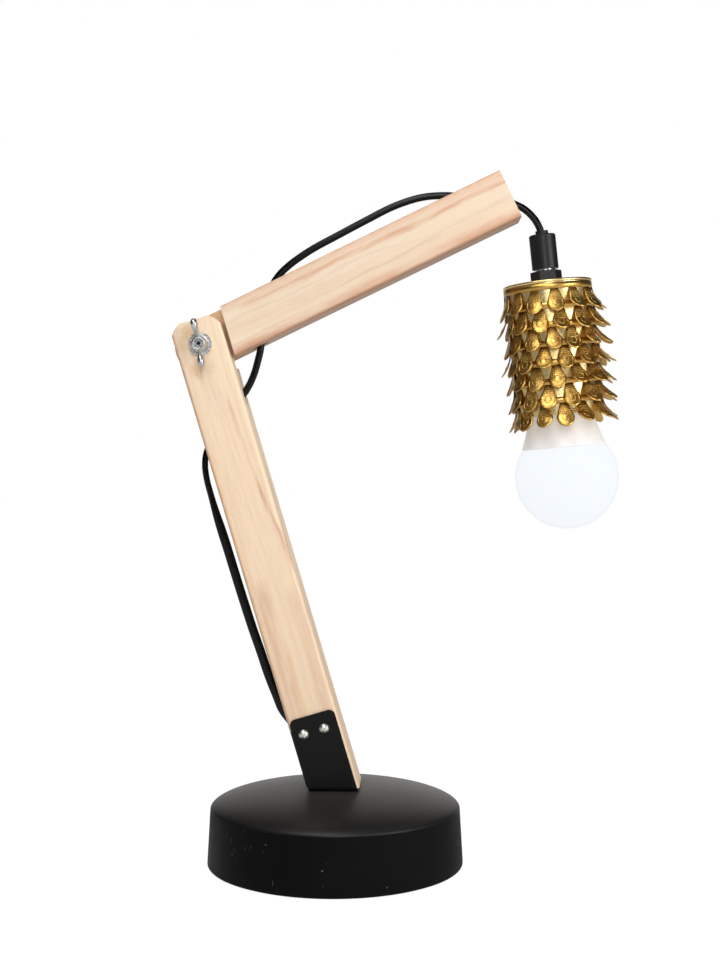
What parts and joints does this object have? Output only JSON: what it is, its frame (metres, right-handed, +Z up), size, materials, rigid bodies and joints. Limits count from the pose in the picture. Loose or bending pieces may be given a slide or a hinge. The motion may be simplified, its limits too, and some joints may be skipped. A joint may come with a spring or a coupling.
{
  "type": "table lamp",
  "caption": "Table lamp with a round weighted base, a two-piece wooden swing arm clamped by a wing nut, and a petalled metal shade hanging from its cord over a bare bulb.",
  "frame": {"origin": "middle of the base's underside, on the floor", "axes": "+Z up; +X along the arm's plane, under the arm towards the shade; -Y is the front, where the wing nut is"},
  "size_m": [0.2593, 0.2225, 0.4039],
  "materials": {
    "powder_black": "matte black powder coat",
    "cast_weight": "rough cast",
    "foot_pad": "soft matte",
    "zinc": "zinc plated",
    "pale_wood": "pale whitewashed grain, worn edges",
    "black_plastic": "satin moulded",
    "brass_sheet": "antique gold, embossed",
    "contact_brass": "plain",
    "holder_white": "matte",
    "bulb_opal": "opal diffuser",
    "bulb_white": "satin white",
    "nickel": "nickel plated",
    "cord_black": "glossy black jacket",
    "tie_black": "woven strap"
  },
  "bodies": {
    "stand": {"base_shell": "powder_black", "base_weight": "cast_weight", "base_pad": "foot_pad", "stem_pipe": "zinc", "pipe_nuts": "zinc", "bracket": "powder_black", "arm_screws": "zinc", "lower_arm": "pale_wood", "elbow_bolt": "zinc", "elbow_washers": "zinc", "cord_lower": "cord_black", "cord_elbow": "cord_black", "strain_relief": "cord_black", "lead_near": "cord_black", "switch_base": "black_plastic", "switch_cover": "black_plastic", "switch_screws": "zinc", "lead_far": "cord_black", "lead_coil": "cord_black", "coil_tie": "tie_black", "lead_tail": "cord_black", "plug_body": "black_plastic", "plug_pins": "nickel"},
    "swing_arm": {"upper_arm": "pale_wood", "cord_upper": "cord_black"},
    "clamp_nut": {"wing_nut": "zinc"},
    "lamp_head": {"cord_grip": "black_plastic", "grip_screw": "black_plastic", "lock_nut": "black_plastic", "nipple": "zinc", "shade_cup": "brass_sheet", "petal_ring_1": "brass_sheet", "petal_ring_2": "brass_sheet", "petal_ring_3": "brass_sheet", "petal_ring_4": "brass_sheet", "petal_ring_5": "brass_sheet", "petal_ring_6": "brass_sheet", "petal_ring_7": "brass_sheet", "holder_shell": "black_plastic", "holder_core": "holder_white", "holder_sleeve": "contact_brass", "holder_contact": "contact_brass", "cord_head": "cord_black"},
    "bulb": {"bulb_globe": "bulb_opal", "bulb_neck": "bulb_white", "bulb_cap": "nickel", "bulb_contact": "nickel"},
    "rocker": {"switch_rocker": "black_plastic"}
  },
  "joints": [
    {"name": "elbow", "type": "hinge", "parent": "stand", "child": "swing_arm", "pos_m": [-0.07714, 0, 0.30475], "axis": [0, 1, 0], "range_deg": [-45, 8], "deforming": ["cord_elbow"]},
    {"name": "wing_nut_turn", "type": "hinge", "parent": "stand", "child": "clamp_nut", "pos_m": [-0.07714, -0.017, 0.30475], "axis": [0, -1, 0], "continuous": true},
    {"name": "head_hang", "type": "hinge", "parent": "swing_arm", "child": "lamp_head", "pos_m": [0.1045, 0, 0.3865], "axis": [0, 1, 0], "range_deg": [-40, 30], "stiffness_Nm_per_rad": 0.25, "springref_deg": -21.37, "deforming": ["cord_head"]},
    {"name": "bulb_turn", "type": "hinge", "parent": "lamp_head", "child": "bulb", "pos_m": [0.12337, 0, 0.34049], "axis": [-0.1045, 0, 0.9945], "continuous": true},
    {"name": "switch_rock", "type": "hinge", "parent": "stand", "child": "rocker", "pos_m": [0.024, 0.1065, 0.0126], "axis": [0, 1, 0], "range_deg": [0, 12]}
  ]
}
